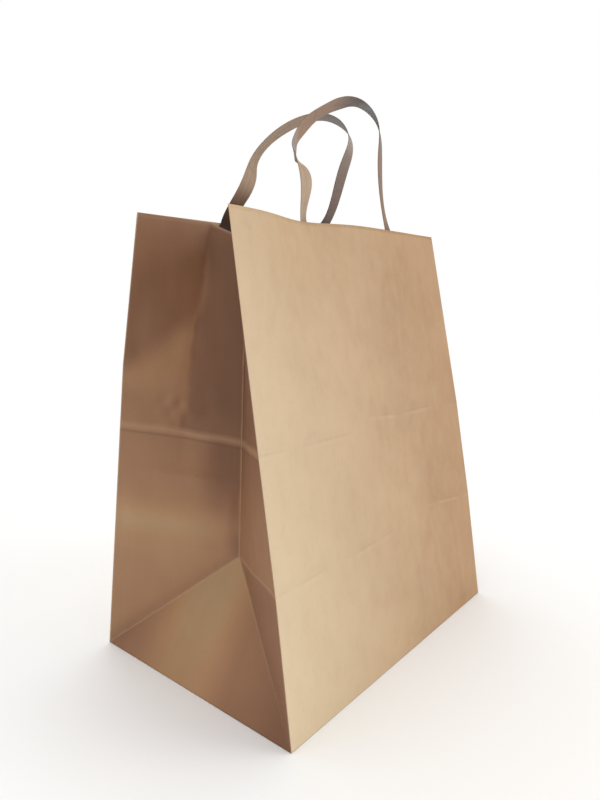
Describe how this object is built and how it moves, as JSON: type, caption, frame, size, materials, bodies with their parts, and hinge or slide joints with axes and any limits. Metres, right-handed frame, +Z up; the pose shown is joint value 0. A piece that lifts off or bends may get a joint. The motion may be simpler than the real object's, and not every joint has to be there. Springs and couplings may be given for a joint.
{
  "type": "paper carrier bag",
  "caption": "Open kraft paper carrier bag with gusseted sides, a block bottom and twisted flat paper handles glued inside its mouth.",
  "frame": {"origin": "centre of the base, on the surface that the bag stands on", "axes": "+Z up out of the mouth, +X along the wide panels, and the front panel faces -Y"},
  "size_m": [0.26, 0.18, 0.4112],
  "materials": {
    "body_paper": "uncoated kraft, machine finished",
    "handle_tape": "folded kraft tape",
    "strip_paper": "uncoated kraft"
  },
  "bodies": {
    "root": {"bag_body": "body_paper", "front_handle": "handle_tape", "rear_handle": "handle_tape", "front_handle_strip": "strip_paper", "rear_handle_strip": "strip_paper"}
  },
  "joints": []
}
